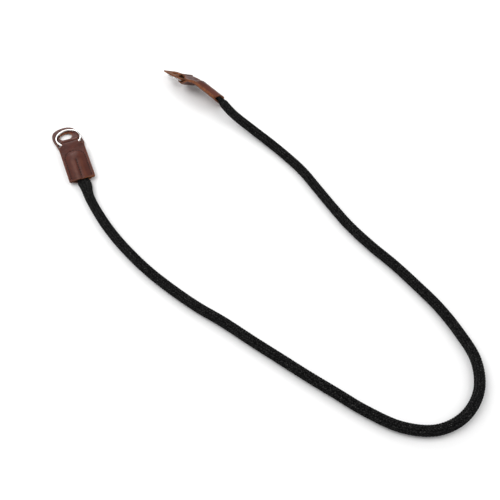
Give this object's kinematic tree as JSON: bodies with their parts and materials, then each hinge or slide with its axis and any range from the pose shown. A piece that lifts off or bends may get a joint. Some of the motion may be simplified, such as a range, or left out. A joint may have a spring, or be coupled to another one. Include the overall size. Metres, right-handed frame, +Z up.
{
  "type": "camera shoulder strap",
  "caption": "Shoulder strap of thick braided rope with a folded and stitched leather tab, a steel split ring and a leather guard at each end, lying in an open loop.",
  "frame": {"origin": "on the ground, in the middle of the box round the two leather ends", "axes": "+X from the near end to the far end, +Y away from the rope's loop, which lies on -Y, and +Z up from the ground"},
  "size_m": [0.2243, 0.5504, 0.0265],
  "materials": {
    "cord": "matt black braid with small pale flecks",
    "leather": "dark brown grain leather with a soft sheen, orange-brown where it is cut",
    "steel": "polished nickel plate"
  },
  "bodies": {
    "root": {"rope": "cord", "near_tab": "leather", "near_ring": "steel", "near_guard": "leather", "far_tab": "leather", "far_ring": "steel", "far_guard": "leather"}
  },
  "joints": []
}
